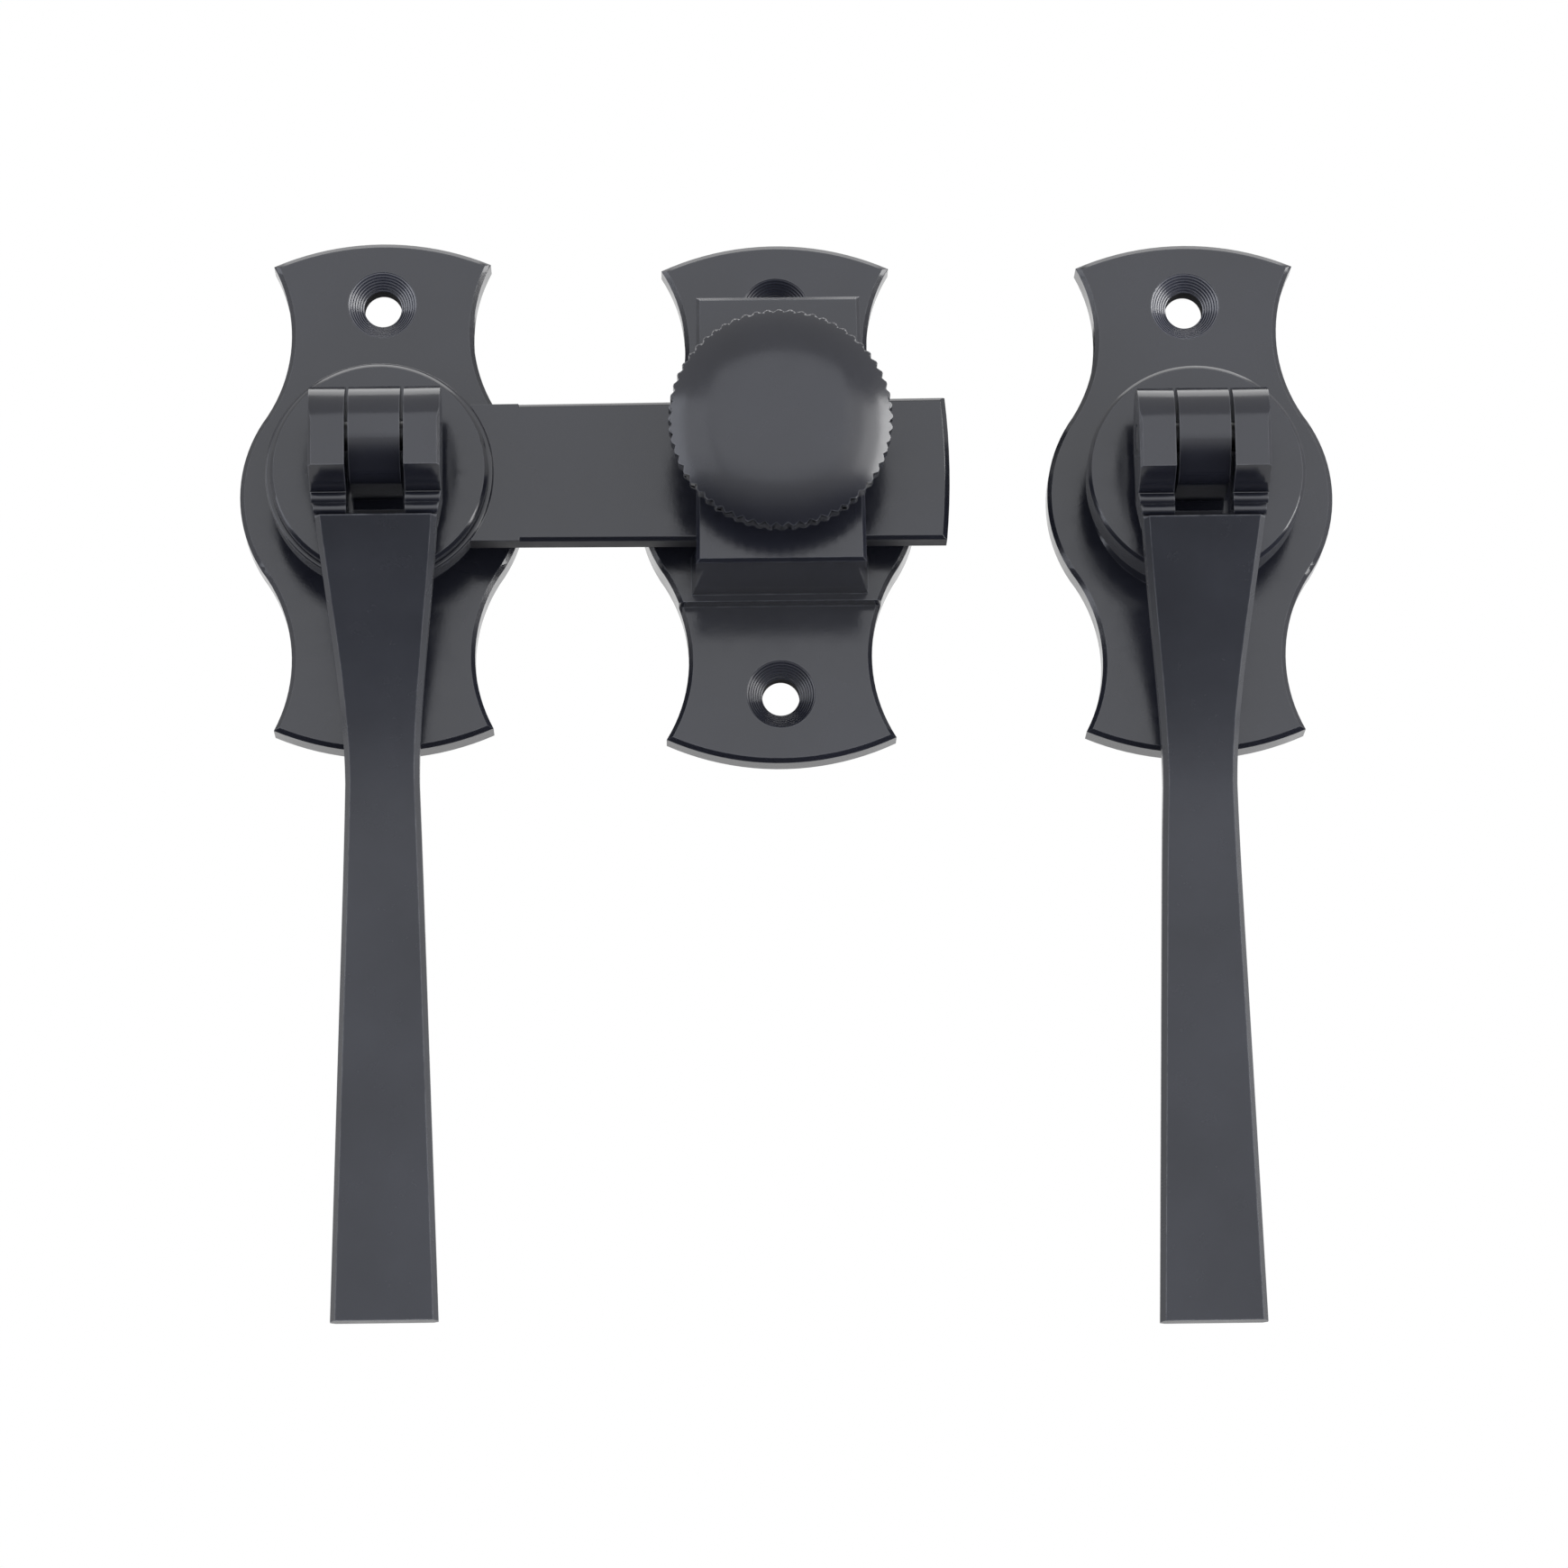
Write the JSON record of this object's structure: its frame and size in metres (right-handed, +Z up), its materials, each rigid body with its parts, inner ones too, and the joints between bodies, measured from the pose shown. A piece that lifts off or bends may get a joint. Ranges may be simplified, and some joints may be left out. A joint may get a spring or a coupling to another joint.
{
  "type": "french door fastener",
  "caption": "French door fastener: a latch bar turned from both faces by drop handles, and a hooked keeper with a knurled screw that clamps the bar.",
  "frame": {"origin": "centre of the inner plate's screw pattern, on the axis of the inner boss, in the plane of the door's face", "axes": "+Z up along the plates, -Y out of the door towards the user, +X from the inner plate towards the keeper"},
  "size_m": [0.1522, 0.0902, 0.1541],
  "materials": {
    "casting": "satin black coat over a metal casting",
    "handle": "satin black coat over a metal forging",
    "black_steel": "blackened steel",
    "plated_steel": "zinc plated steel",
    "spring_steel": "oiled spring steel"
  },
  "bodies": {
    "plates": {"inner_backplate": "casting", "keeper": "casting", "outer_backplate": "casting"},
    "inner_latch": {"inner_boss": "casting", "latch_bar": "casting", "inner_washer": "plated_steel", "inner_disc_spring": "spring_steel", "inner_retaining_ring": "spring_steel", "spindle": "plated_steel", "spindle_pin": "plated_steel"},
    "inner_drop": {"inner_handle": "handle", "inner_hinge_pin": "black_steel"},
    "clamp_stud": {"clamp_screw": "black_steel"},
    "clamp_grip": {"clamp_knob": "casting"},
    "outer_turner": {"outer_boss": "casting", "outer_washer": "plated_steel", "outer_disc_spring": "spring_steel", "outer_retaining_ring": "spring_steel", "grub_screw": "black_steel"},
    "outer_drop": {"outer_handle": "handle", "outer_hinge_pin": "black_steel"}
  },
  "joints": [
    {"name": "latch_turn", "type": "hinge", "parent": "plates", "child": "inner_latch", "pos_m": [0, 0, 0], "axis": [0, -1, 0], "range_deg": [0, 50]},
    {"name": "inner_handle_swing", "type": "hinge", "parent": "inner_latch", "child": "inner_drop", "pos_m": [0, -0.029, 0.002], "axis": [-1, 0, 0], "range_deg": [0, 120]},
    {"name": "outer_turn", "type": "hinge", "parent": "plates", "child": "outer_turner", "pos_m": [0.1124, 0, -0.0014], "axis": [0, -1, 0], "range_deg": [0, 50]},
    {"name": "outer_handle_swing", "type": "hinge", "parent": "outer_turner", "child": "outer_drop", "pos_m": [0.1124, -0.029, 0.0006], "axis": [-1, 0, 0], "range_deg": [0, 120]},
    {"name": "clamp_travel", "type": "slide", "parent": "plates", "child": "clamp_stud", "axis": [0, -1, 0], "range_m": [0, 0.00501]},
    {"name": "knob_turn", "type": "hinge", "parent": "clamp_stud", "child": "clamp_grip", "pos_m": [0.055, -0.03, 0.0025], "axis": [0, -1, 0], "range_deg": [0, 1440]}
  ],
  "couplings": [
    {"joint": "clamp_travel", "follows": "knob_turn", "m_per_rad": 0.00019894}
  ]
}
